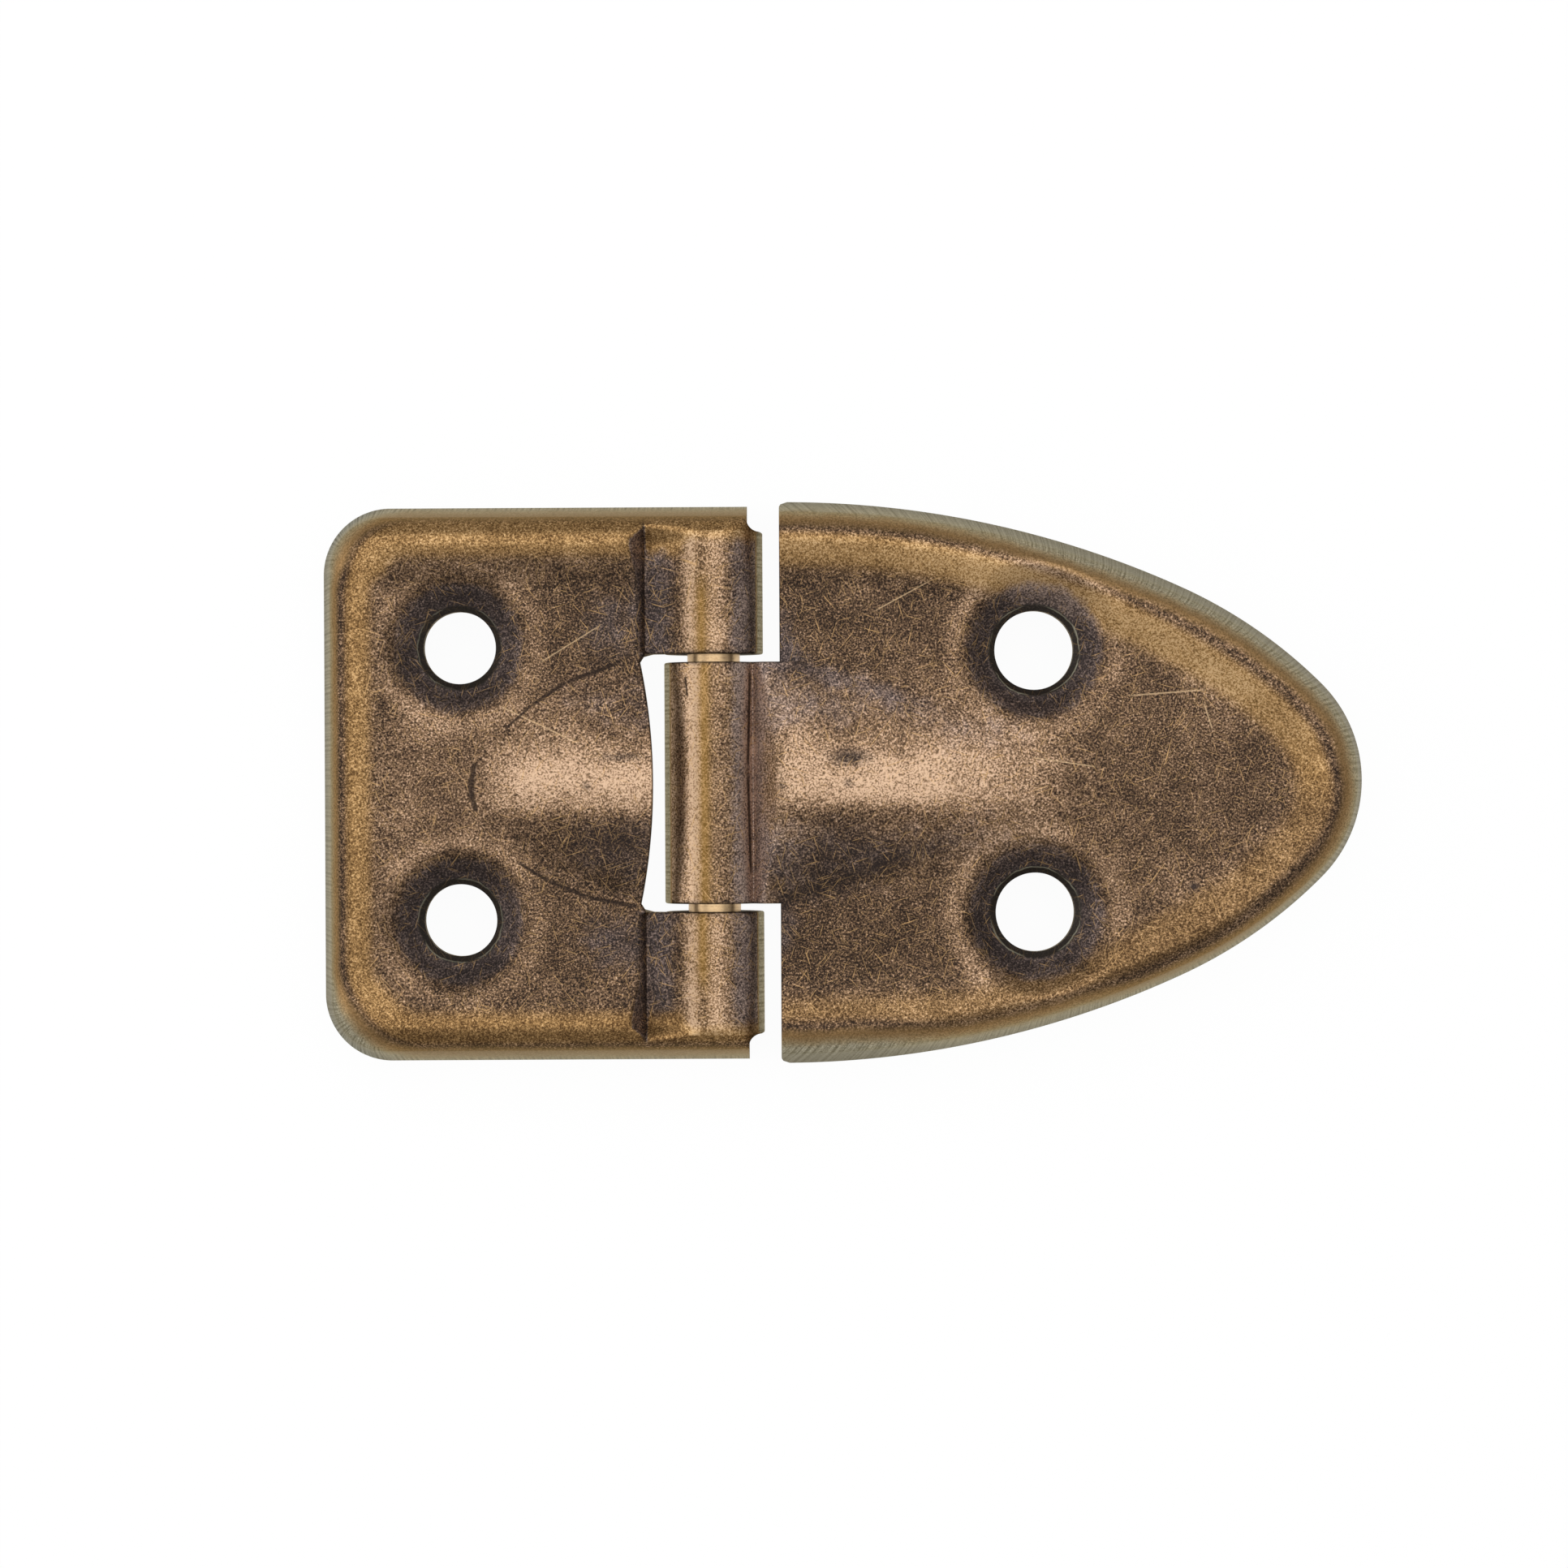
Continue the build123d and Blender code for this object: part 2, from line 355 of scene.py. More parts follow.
def lid_stations():
    """From the upper cut edge round the nose to the lower one."""
    return whole_row(
        (lid_reach, 0, -1, 0),
        arc_row(side_centre, side_r, 90 - 0.7, 90 - side_turn, row_step),
        arc_row(cheek_centre, cheek_r, 90 - side_turn, 90 - side_turn - cheek_turn, row_step),
        arc_row(nose_centre, nose_r, 90 - side_turn - cheek_turn, 0, row_step),
    )


def base_stations():
    """From the upper flange end round the far corners to the lower one."""
    corner_x = -base_reach + base_corner_r
    corner_y = base_half - base_corner_r
    return whole_row(
        (-base_reach, 0, 1, 0),
        line_row((flange_end - 0.3, base_half), (corner_x, base_half), (0, -1), row_step),
        arc_row((corner_x, corner_y), base_corner_r, 90, 180, corner_step),
        line_row((-base_reach, corner_y), (-base_reach, 0), (1, 0), row_step),
    )


shoulder_angles = np.radians(np.linspace(10, 90, 15))
row_depths = join(np.linspace(0, shoulder_d, 5)[:-1], crest_d - shoulder_r * np.cos(shoulder_angles), [3.05])
last_row = row_depths[-1]
edge_steps = cut_edge_r * (1 - np.cos(np.radians(np.linspace(0, 90, 5))))


def band_rows(low, high, count):
    """Places along Y across a knuckle, closer together at its rounded edges."""
    middle = np.linspace(low + 0.35, high - 0.35, count)
    return join(low + edge_steps, middle, (high - edge_steps)[::-1])


def hex_points(x0, x1, y0, y1, step):
    """Points of a triangular grid inside a rectangle."""
    rows = np.arange(y0, y1, step * sqrt(3) / 2)
    points = []
    for i, y in enumerate(rows):
        points.append(stack(np.arange(x0 + (step / 2 if i % 2 else 0), x1, step), y))
    return np.concatenate(points)


def hole_rings(hole):
    """The edges of a leaf's two screw holes, and rings of points round them."""
    edges = []
    rings = []
    for y in (hole[1], -hole[1]):
        for i, step in enumerate(hole_steps):
            angles = np.linspace(0, 2 * pi, hole_points, endpoint=False) + (i % 2) * pi / hole_points
            r = hole[2] + step
            ring = stack(hole[0] + r * np.cos(angles), y + r * np.sin(angles))
            (rings if i else edges).append(ring)
    return edges, rings


def triangulate(loop, holes, inner):
    """Triangles of a plan area with holes, through all its points."""
    edges = []
    first = 0
    for ring in (loop, *holes):
        edges += [(first + i, first + (i + 1) % len(ring)) for i in range(len(ring))]
        first += len(ring)
    points = [Vector(p) for p in join(loop, *holes, inner)]
    verts, _, faces, _, _, _ = delaunay_2d_cdt(points, edges, [], 2, 1e-6)
    verts = np.array([tuple(v) for v in verts])
    faces = np.array([tuple(f) for f in faces])
    middle = verts[faces].mean(axis=1)
    keep = np.ones(len(faces), bool)
    for hole in holes:
        centre = hole.mean(axis=0)
        r = np.hypot(*(hole[0] - centre))
        keep &= np.hypot(middle[:, 0] - centre[0], middle[:, 1] - centre[1]) > r * 0.999
    return verts, faces[keep]


def far_from(points, others, gap):
    """The points that keep a gap to the others, found with a coarse grid of cells."""
    cells = {}
    for p in others:
        cells.setdefault((int(p[0] // gap), int(p[1] // gap)), []).append(p)
    kept = []
    for p in points:
        cx = int(p[0] // gap)
        cy = int(p[1] // gap)
        near = [q for i in (-1, 0, 1) for j in (-1, 0, 1) for q in cells.get((cx + i, cy + j), ())]
        if all((p[0] - q[0]) ** 2 + (p[1] - q[1]) ** 2 > gap * gap for q in near):
            kept.append(p)
    return np.array(kept).reshape(-1, 2)


def boundary_sides(faces):
    """Directed edges that belong to one face only."""
    sides = join(faces[:, [0, 1]], faces[:, [1, 2]], faces[:, [2, 0]])
    known = {(a, b) for a, b in sides.tolist()}
    return [(a, b) for a, b in known if (b, a) not in known]


def add_object(name, data, location=(0, 0, 0), turn=(0, 0, 0)):
    """An object in the scene, its place in metres and its turn in degrees."""
    thing = bpy.data.objects.new(name, data)
    thing.location = location
    thing.rotation_euler = [radians(angle) for angle in turn]
    scene.collection.objects.link(thing)
    return thing


def make_piece(name, verts, faces, marks):
    """One object in metres from millimetre points, with its marks as point attributes."""
    mesh = bpy.data.meshes.new(name)
    mesh.from_pydata(((verts + (pin_x, 0, 0)) * mm).tolist(), [], faces)
    for label, values in marks.items():
        layer = mesh.attributes.new(label, "FLOAT", "POINT")
        layer.data.foreach_set("value", np.array(values, dtype=np.float32))
    mesh.validate()
    mesh.shade_smooth()
    mesh.set_sharp_from_angle(angle=sharp_angle)
    mesh.update()
    return add_object(name, mesh)


def line_distance(x, y, line):
    """Distance from each point to a run of straight pieces."""
    best = np.full(len(x), 1e9)
    for (ax, ay), (bx, by) in zip(line[:-1], line[1:]):
        length = max((bx - ax) ** 2 + (by - ay) ** 2, 1e-12)
        t = np.clip(((x - ax) * (bx - ax) + (y - ay) * (by - ay)) / length, 0, 1)
        best = np.minimum(best, np.hypot(x - ax - t * (bx - ax), y - ay - t * (by - ay)))
    return best


def edge_drop(e):
    """How far the top falls at a distance from a rounded cut edge."""
    e = np.clip(e, 0, cut_edge_r)
    return cut_edge_r - np.sqrt(cut_edge_r**2 - (cut_edge_r - e) ** 2)


def round_edges(x, y, z, cut_line, normal_x, whole):
    """Top points, let down square to the surface at the cut edges, but for the whole ones."""
    fall = np.where(whole, 0, edge_drop(line_distance(x, np.abs(y), cut_line)))
    return stack(x - fall * normal_x, y, z - fall * np.sqrt(1 - normal_x**2))


def wall_inside(distance, x, y):
    """Shift in X and Y, and height, of the inner side of the wall and shoulder below points of the outside."""
    d = distance(x, y)
    foot = sheet / cos(draft_turn)
    share = np.clip(d / shoulder_d, 0, 1)
    top_d = crest_d - (shoulder_r - sheet) * cos(draft_turn)
    top_z = shoulder_z + (shoulder_r - sheet) * sin(draft_turn)
    line_d = blend(foot, top_d, share)
    line_z = top_z * share
    scale = (shoulder_r - sheet) / shoulder_r
    arc_d = crest_d - (crest_d - d) * scale
    arc_z = shoulder_z + (shell_height(d) - shoulder_z) * scale
    move = np.where(d < crest_d, np.clip(np.where(d < shoulder_d, line_d, arc_d) - d, 0, None), 0)
    slope_x = (distance(x + slope_step, y) - distance(x - slope_step, y)) / (2 * slope_step)
    slope_y = (distance(x, y + slope_step) - distance(x, y - slope_step)) / (2 * slope_step)
    return move * slope_x, move * slope_y, np.where(d < shoulder_d, line_z, arc_z)


def fill(loop, hole, lines, fine, coarse):
    """Plan points and triangles inside a loop round two screw holes, with points thinned out near each other."""
    holes, rings = hole_rings(hole)
    lines = lines + rings
    coarse = coarse[hole_distance(*coarse.T, hole) > hole_steps[-1] + hole_gap]
    fixed = join(loop, *holes, *lines)
    fine = far_from(fine, fixed, fine_gap)
    coarse = far_from(coarse, join(fixed, fine), coarse_gap)
    return triangulate(loop, holes, join(*lines, fine, coarse))


def build_lid():
    """The lid leaf: plate, wall, hump, stop face and centre knuckle in one skin."""
    stations = lid_stations()
    field_ys = np.arange(centre_half, lid_half - last_row - 0.1, 0.2)
    cut_ys = join(lid_half - row_depths, field_ys[::-1])
    cut_ds = lid_half - cut_ys
    lean = np.clip(lid_corner_r - cut_ds, 0, None)
    cut_xs = lid_edge_x + lid_corner_r - np.sqrt(lid_corner_r**2 - lean**2)
    side_xs = join(np.arange(lid_edge_x - cut_step, valley_x - 0.6, -cut_step), np.arange(1.9, 0.1, -2 * cut_step))
    tab_ys = -band_rows(-centre_half, centre_half, 70)
    outer = stations[:, :2]
    upper_cut = stack(cut_xs, cut_ys)
    upper_side = stack(side_xs, centre_half)
    tab_end = stack(0, tab_ys)
    # The loop runs from the lower cut edge up the outline backwards, so that it turns counter-clockwise
    lower = join(upper_side[::-1], upper_cut[::-1]) * flip
    loop = join(outer[::-1], upper_cut, upper_side, tab_end, lower)
    rows = [outer + d * stations[:, 2:] for d in row_depths[1:]]
    more = []
    for e in edge_steps[1:]:
        inner_cut = stack(cut_xs + e, cut_ys)[1:]
        inner_side = stack(side_xs, centre_half - e)
        more += [inner_cut, inner_cut * flip, inner_side, inner_side * flip]
    for x in (0.35, 0.62, 0.85):
        root = stack(lid_edge_x + x, lid_half - row_depths)[1:]
        root = root[root[:, 0] > lid_edge_x + 0.2 + np.clip(lid_corner_r - (lid_half - root[:, 1]), 0, None)]
        more += [root, root * flip]
    fine = hex_points(0.15, 5.4, -centre_half + 0.2, centre_half - 0.2, fine_grid)
    fine = fine[fine[:, 0] > valley_x - 0.6]
    coarse = hex_points(0.15, lid_reach, -lid_half, lid_half, grid)
    x, y = coarse.T
    plate = (x > lid_edge_x + 0.3) & (lid_distance(x, y) > last_row + rim_gap)
    tab = (np.abs(y) < centre_half - 0.2) & (x > 0.1)
    plan, faces = fill(loop, lid_hole, rows + more, fine, coarse[plate | tab])
    x, y = plan.T
    tab = np.abs(y) < tab_half
    d = lid_distance(x, y)
    cut_line = join(upper_cut, upper_side, tab_end[:1])
    normal_x = np.where(tab & (x < valley_x), x / knuckle_r, 0)
    top = round_edges(x, y, lid_height(x, y), cut_line, normal_x, d < 1.2)
    # Inner side of the sheet
    move_x, move_y, inside_z = wall_inside(lid_distance, x, y)
    crest_line = lid_plate(x, y) - valley_z + valley_x
    shift = np.where(tab & (d >= crest_d), 0.62 * fade(x, crest_line, 1.3), 0)
    under_x = x + np.where(x < side_start_x + 0.05, 0, move_x) + shift
    flat = np.where(hole_distance(x, y, lid_hole) < dimple_flat, dimple_z, lid_plate(under_x, y)) - sheet
    face_low = under_x + valley_z - valley_x - sheet * sqrt(2)
    under_z = np.where(d < crest_d, inside_z, np.where(tab, np.minimum(flat, face_low), flat))
    share = np.where(tab, rise(x, valley_x - 0.15, 0.5), 1)
    under_x = blend(x * bore_scale, under_x, share)
    under_z = blend(bore_height(x), under_z, share)
    bottom = stack(under_x, y + move_y, under_z)
    return plan, faces, top, bottom, tab_ys


def round_pin(angle, radius, ys):
    """Points along Y at an angle round the pin."""
    return stack(radius * cos(radians(angle)), ys, pin_z + radius * sin(radians(angle)))


def ring_strip(ys, start, end, soften):
    """Curled sheet round the pin, from one angle to another in degrees, seen as rows along Y.

    The rounding of its two ends grows over the first degrees, given one by one in soften.
    """
    count = max(2, int(abs(end - start) / curl_step))
    degrees_round = np.linspace(start, end, count + 1)
    low = min(ys)
    high = max(ys)
    verts = []
    for angle in degrees_round:
        grown = [1 if s == 0 else smooth(abs(angle - start) / s) for s in soften]
        fall = np.maximum(edge_drop(ys - low) * grown[0], edge_drop(high - ys) * grown[1])
        verts.append(round_pin(angle, knuckle_r - fall, ys))
    verts += [round_pin(angle, bore_r, ys) for angle in degrees_round]
    width = len(ys)
    rows = len(degrees_round)
    inner = rows * width
    faces = []
    turn = 1 if (end < start) == (ys[0] < ys[-1]) else -1
    for i in range(rows - 1):
        for j in range(width - 1):
            a = i * width + j
            quad = [a, a + 1, a + width + 1, a + width]
            faces.append(quad[::-turn])
            faces.append([inner + v for v in quad][::turn])
        a = i * width
        b = a + width - 1
        faces.append([a, a + width, inner + a + width, inner + a][::-turn])
        faces.append([b, inner + b, inner + b + width, b + width][::-turn])
    last = (rows - 1) * width
    for j in range(width - 1):
        faces.append([last + j, last + j + 1, inner + last + j + 1, inner + last + j][::-turn])
    outside = np.arange(2 * inner) < inner
    return np.concatenate(verts), faces, outside


def build_base():
    """The base leaf: plate, wall on three sides, humped tongue and two knuckles."""
    stations = base_stations()
    outer = stations[:, :2]
    tongue_r = (tongue_half**2 + (tongue_end_x - base_crest_x) ** 2) / (2 * (base_crest_x - tongue_end_x))
    tongue_c = base_crest_x - tongue_r
    tongue_ys = np.linspace(-tongue_half, tongue_half, 65)
    tongue = stack(tongue_c + np.sqrt(tongue_r**2 - tongue_ys**2), tongue_ys)
    slant_ys = tongue_half + np.array([0.18, 0.37])
    slant_share = (slant_ys - tongue_half) / (knuckle_in - tongue_half)
    slant = stack(blend(tongue_end_x, crease_x, slant_share), slant_ys)
    inner_xs = join(np.arange(crease_x, 1.6, 0.15), np.arange(1.6, last_x - 0.05, 0.09))
    inner_side = stack(inner_xs, knuckle_in)
    band_ys = band_rows(knuckle_in, knuckle_out, 34)
    band_end = stack(last_x, band_ys)
    relief_angles = np.radians(np.linspace(270, 180, 9))[1:]
    relief = stack(np.cos(relief_angles), 1 + np.sin(relief_angles)) * relief_r + (last_x, knuckle_out)
    end_ds = row_depths[row_depths < base_half - knuckle_out - relief_r - 0.05]
    flange = stack(flange_end, base_half - end_ds[::-1])
    upper = join(slant, inner_side, band_end, relief, flange)
    loop = join(tongue, upper, outer, (upper * flip)[::-1])
    rows = [outer + d * stations[:, 2:] for d in row_depths[1:]]
    more = []
    for e in edge_steps[1:]:
        inside = stack(inner_xs[1:], knuckle_in + e)
        more += [inside, inside * flip, tongue[1:-1] - (e, 0)]
    crease = stack(crease_x, np.arange(knuckle_in + 0.15, 17.6, 0.1))
    more += [crease, crease * flip]
    near_end = hex_points(1.3, last_x - 0.04, knuckle_in + 0.2, end_rim_y, 0.14)
    x, y = near_end.T
    clear = (line_distance(x, y, upper) > line_gap) & (x < last_x) & (y < end_rim_y)
    clear = clear & (np.hypot(x - last_x, y - knuckle_out - relief_r) > relief_r)
    near_end = near_end[clear & ((x < flange_end) | (y < knuckle_out + relief_r))]
    fine = hex_points(-6.6, crease_x - 0.05, knuckle_in - 0.5, base_half - last_row - 0.05, fine_grid)
    x, y = fine.T
    fine = fine[(line_distance(x, y, upper) > line_gap) & (x < tongue_end_x - 0.05 + 0.45 * (y > knuckle_in))]
    crest = hex_points(-6.6, 1.25, base_half - last_row + 0.05, 17.5, 0.13)
    fine = join(fine, fine * flip, crest, crest * flip, near_end, near_end * flip)
    coarse = hex_points(-base_reach, last_x, -base_half, base_half, grid)
    x = coarse[:, 0]
    ay = np.abs(coarse[:, 1])
    before_tongue = x < tongue_c + np.sqrt(tongue_r**2 - np.minimum(ay, 9) ** 2) - 0.25
    plate = before_tongue & (base_edge(x, ay) > last_row + rim_gap)
    plate = plate & ((x < crease_x - 0.2) | (ay < tongue_half - 0.2))
    knuckle = (ay > knuckle_in + 0.2) & (ay < base_half - last_row - rim_gap) & (x < 1.35)
    plan, faces = fill(loop, base_hole, rows + more, fine, coarse[plate | knuckle])
    x, y = plan.T
    ay = np.abs(y)
    z = base_height(x, y)
    d = base_edge(x, y)
    cut_line = join(tongue[32:], slant, inner_side, band_end[:1])
    over = (x > crease_x) & (ay > knuckle_in - 0.01)
    normal_x = np.where(over, np.where(x < touch_x, -sin(curl_slope), x / knuckle_r), 0)
    top = round_edges(x, y, z, cut_line, normal_x, False)
    # Inner side of the sheet: general, and under the knuckles
    move_x, move_y, inside_z = wall_inside(base_edge, x, y)
    move_x = np.where(x > -base_reach + 2 * base_corner_r, 0, move_x)
    plate_z = base_height(np.minimum(x, crease_x - 1.1), y)
    plate_z = np.where(hole_distance(x, y, base_hole) < dimple_flat, dimple_z, np.where(ay < knuckle_in, z, plate_z))
    in_z = np.where(d < crest_d, inside_z, plate_z - sheet)
    curl_x = np.where(x < touch_x, x + sheet * sin(curl_slope), x * bore_scale)
    slope_z = crease_z + (x - crease_x) * tan(curl_slope) - sheet * cos(curl_slope)
    curl_z = np.where(x < touch_x, slope_z, bore_height(x))
    share = np.clip(d / (base_half - knuckle_out), 0, 1)
    curl = stack(blend(x, curl_x, share), np.sign(y) * np.minimum(ay, knuckle_out), curl_z * share)
    bend = np.where(ay > knuckle_in - 0.01, rise(x, crease_x - 1.1, 1.1), 0)
    bottom = blend(stack(x + move_x, y + move_y, in_z), curl, bend[:, None])
    bottom[:, 2] = np.maximum(bottom[:, 2], 0)
    return plan, faces, top, bottom, band_ys


def close_skin(plan, faces, top, bottom, is_open, is_skirt):
    """Joins the top and bottom of a leaf along its edges, but for the open and skirted stretches."""
    count = len(plan)
    quads = []
    skirt = []
    for a, b in boundary_sides(faces):
        middle = (plan[a] + plan[b]) / 2
        if is_open(middle):
            continue
        if is_skirt(middle):
            skirt.append((a, b))
            continue
        quads.append([a, a + count, b + count, b])
    verts = [*top, *bottom]
    polygons = faces.tolist() + (faces[:, ::-1] + count).tolist() + quads
    after = dict(skirt)
    for first in set(after) - set(after.values()):
        chain = [first]
        while chain[-1] in after:
            chain.append(after[chain[-1]])
        feet = []
        for v in chain:
            if top[v][2] > 1e-4:
                feet.append(len(verts))
                verts.append(np.array([plan[v][0], plan[v][1], 0.0]))
            else:
                feet.append(v)
        for i in range(len(chain) - 1):
            polygons.append([chain[i], feet[i], feet[i + 1], chain[i + 1]])
        # The foot of the flange end, and the inner side of its relief
        below = [v + count for v in chain]
        if feet[0] == chain[0]:
            polygons.append(feet[::-1] + [below[0]])
            polygons.append(below + [chain[-1], feet[-1]])
        else:
            polygons.append([below[-1]] + feet[::-1])
            polygons.append(below + [feet[0], chain[0]])
    outside = np.zeros(len(verts), bool)
    outside[:count] = True
    return np.array(verts), polygons, outside


def weld(parts):
    """One set of points and faces from several, with points that coincide made one."""
    verts = np.concatenate([p[0] for p in parts])
    outside = np.concatenate([p[2] for p in parts])
    faces = []
    first = 0
    for points, polygons, _ in parts:
        faces += [[first + v for v in f] for f in polygons]
        first += len(points)
    keys = np.round(verts * 2000).astype(np.int64)
    _, kept, where = np.unique(keys, axis=0, return_index=True, return_inverse=True)
    where = where.ravel()
    joined = []
    for f in faces:
        f = [int(where[v]) for v in f]
        f = [v for i, v in enumerate(f) if v != f[i - 1]]
        if len(set(f)) > 2:
            joined.append(f)
    return verts[kept], joined, outside[kept]


# Lid leaf
plan, faces, top, bottom, tab_ys = build_lid()
skin = close_skin(plan, faces, top, bottom, lambda p: p[0] < 1e-6, lambda p: False)
curl = ring_strip(tab_ys, 90, lid_curl_end, (0, 0))
lid_verts, lid_faces, lid_outside = weld([skin, curl])

# Base leaf
plan, faces, top, bottom, band_ys = build_base()


def at_flange_end(p):
    """Whether a point lies on the cut end of the flange or its relief."""
    return p[0] > flange_end - 1e-4 and abs(p[1]) > knuckle_out


skin = close_skin(
    plan, faces, top, bottom, lambda p: p[0] > last_x - 1e-6 and abs(p[1]) < knuckle_out, at_flange_end
)
curl_start = np.degrees(acos(last_x / knuckle_r))
curl = ring_strip(band_ys, curl_start, base_curl_end, (0, 15))
far_curl = ring_strip(-band_ys, curl_start, base_curl_end, (15, 0))
base_verts, base_faces, base_outside = weld([skin, curl, far_curl])


# Soft round marks on the leaves: X, Y, size along X, size along Y and strength
lid_bright_spots = (
    (33, 6, 4, 5, 0.12),
    (32, -7, 5, 3, 0.12),
    (5.2, 3.6, 1.6, 2.2, 0.3),
    (5.2, -3.3, 1.3, 1.2, 0.3),
    (9.5, 5.4, 5, 2.2, 0.2),
)
lid_dark_spots = (
    (9.0, 1.65, 1.25, 0.5, 1.05),
    (8.9, -0.05, 0.34, 0.3, 0.6),
    (31.7, -7.0, 0.4, 0.3, 1.0),
    (24.3, -12.3, 0.35, 0.3, 0.8),
    (4.5, -0.2, 0.3, 0.4, 0.5),
    (8.4, -4.3, 4.6, 1.1, 0.3),
)
base_bright_spots = ((-20.5, 0, 3.5, 9, 0.12), (-9.5, 4.2, 4.5, 2.0, 0.16), (-14.8, -1.4, 2.0, 1.2, 0.12))
base_dark_spots = ((-8.4, -0.2, 0.32, 0.3, 0.7), (-6.1, 1.75, 1.5, 0.28, 0.7))
inset_span = 6
along_span = 100
ring_span = 5
inside_values = {"wear_and_highlight": 0.22, "gold": 0.1, "dark": 0.35, "stain_and_shade": 0, "reflected_stripe": 0, "inset": 1, "corner": 0, "ring": 1}


def spots(x, y, *rows):
    """Sum of soft round marks in plan."""
    return sum(k * bell(x, at_x, size_x) * bell(y, at_y, size_y) for at_x, at_y, size_x, size_y, k in rows)


def leaf_marks(verts, outside, lid):
    """Point attributes that the leaf material reads: wear with painted highlights, a painted shift of the wall's
    reflection by side, soot with painted shade, stains with painted shadow, and places along the edge.
    """
    x, y, z = verts.T
    ay = np.abs(y)
    if lid:
        d = lid_distance(x, y)
        hole = hole_distance(x, y, lid_hole)
        halo = 0.24 + 0.1 * np.clip((ay - lid_hole[1]) / 4, -1, 1)
        # Rim: how wide the wall shows and how bright the edge is change along it. The bright band is rubbed brass with
        # a painted highlight, stronger and golder on the upper side, and the wall's width sets where its painted floor
        # reflection shows.
        upper = rise(y, -2.5, 5)
        shift_low = 0.3 + 0.75 * fade(x, 8, 10) + 0.25 * rise(x, 34, 5)
        edge = d - blend(shift_low, 0.45 + 0.4 * rise(x, 12, 14), upper)
        late = 0.4 * fade(x, 10, 6) + 0.35 * rise(x, 33, 4)
        late = blend(late, 0.42 + 0.33 * rise(x, 25, 8), upper)
        fall_at = 2.7 + 0.9 * rise(x, 24, 6) + (0.3 - 0.5 * rise(x, 25, 4)) * upper
        rim = rise(edge, 0.9 + late, 1.2) * fade(edge, fall_at, 2.2)
        gain_up = 0.38 + 0.14 * rise(x, 11, 6) - 0.08 * rise(x, 23, 4) - 0.18 * rise(x, 34, 4)
        gain = blend(0.2 - 0.2 * rise(x, 20, 9) + 0.08 * rise(x, 34, 4), gain_up, upper)
        gold = rim * (0.55 + 0.45 * upper)
        # Painted shade: a darker dip on the steep part of the shoulder
        shoulder_shade = -bell(edge, 1.1, 0.5) * (0.1 + 0.08 * upper * fade(x, 22, 8))
        # Painted light: the wall's painted reflection set further in on the lower side towards the nose
        side_light_shift = 0.4 * rise(x, 24, 4) * rise(-y, 3, 5)
        # Field and hump
        on_tab = ay < centre_half + 0.1
        # Painted highlight along the hump's crest, sharp on its lower edge, over brass rubbed bright there
        crest = bell(y, 0.1, 2.6) * rise(y, -2.6, 1.7) * rise(x, 3.4, 1.8) * fade(x, 11, 15)
        wide = spots(x, y, *lid_bright_spots) + spots(x, ay, (18, 2.6, 6, 3.4, 0.26)) + 0.6 * bell(x, 2.7, 1.1) * on_tab
        upper_fold = y - 7.8 + 0.31 * (x - 4.3)
        lower_fold = y + 7.9 - 0.355 * (x - 4.3)
        # Painted shade on the hump's flanks, by the upper fold and in the valley beside the knuckle, with patina there
        shade_and_patina = 0.66 * bell(upper_fold, 0.2, 1.1) * fade(x, 11, 5) + 0.5 * bell(y, -4.6, 1.6) * fade(x, 9, 8)
        shade_and_patina = shade_and_patina + 0.8 * bell(x, 2.8, 0.9) * on_tab + spots(x, ay, (17.5, 3.4, 5.5, 2.6, 0.4))
        shade_and_patina = shade_and_patina + 0.55 * bell(x, 4.6, 1.5) * (ay > centre_half) * fade(ay, 10, 3)
        low = 0 * x
        # Dark spots, and a painted shadow line along the hump's lower fold
        stain_and_shade = spots(x, y, *lid_dark_spots) + 0.6 * bell(lower_fold, 0, 0.7) * fade(x, 13, 5) * (x > 4.3)
        wear = 0.27 - 0.05 * fade(x, 12, 6) * rise(ay, 8, 2)
        along = 20 * np.arctan2(y, x - nose_centre[0] + 14)
        ribbed = 0 * x
        # Knuckle
        on_knuckle = ay < tab_half
        from_edge = centre_half - ay
        lean, before, after, behind, band_from = -10.5, 0.7, 0.12, 0.5, 8
    else:
        d = base_edge(x, y)
        hole = hole_distance(x, y, base_hole)
        halo = 0.18 - 0.04 * np.clip((ay - base_hole[1]) / 4, -1, 1)
        # Rim, rounder at the corners than the outline: rubbed brass with a painted highlight whose place and strength
        # change by side, and a painted floor reflection on the wall
        above = y > 0
        corner_x = -base_reach + base_corner_r
        edge_turn = np.arctan2(ay - base_half + base_corner_r, corner_x - x)
        at_corner = (x < corner_x) & (ay > base_half - base_corner_r)
        ribbed = np.where(at_corner, np.sin(np.clip(2 * edge_turn, 0, pi)), 0)
        along = np.where(at_corner, edge_turn * base_corner_r, np.where(x < corner_x, y, x))
        rounder = d - base_distance(x, y, base_corner_r + np.where(above, 1.7, 2.5))
        corner = np.clip(rounder / np.where(above, 0.7, 1.03), 0, 1)
        flank = rise(ay, 13.5, 3)
        edge = d - 0.45 + flank * np.where(above, 0.58, 0.33) - rounder
        late = 0.3 * corner + 0.25 * (1 - flank) * (1 - corner)
        fall_at = 2.2 + 0.4 * corner + flank * np.where(above, 0.5, 0.1)
        rim = rise(edge, 0.8 + late, 1.1) * fade(edge, fall_at, 1.9)
        gain = 0.1 + flank * np.where(above, 0.08, -0.07) + corner * np.where(above, -0.1, 0.04)
        gold = rim
        # Painted shade: a darker dip on the shoulder along the left side
        shoulder_shade = 0.06 * bell(edge, 1.25, 0.4) * (1 - flank) * (1 - corner)
        # Painted light: the wall's painted reflection moved in by side, more on the lower flank, less at the corners
        side_light_shift = blend(0.5 * rise(d, 0.9, 0.8), np.where(above, 0.1, 0.4), flank) * (1 - 0.8 * corner)
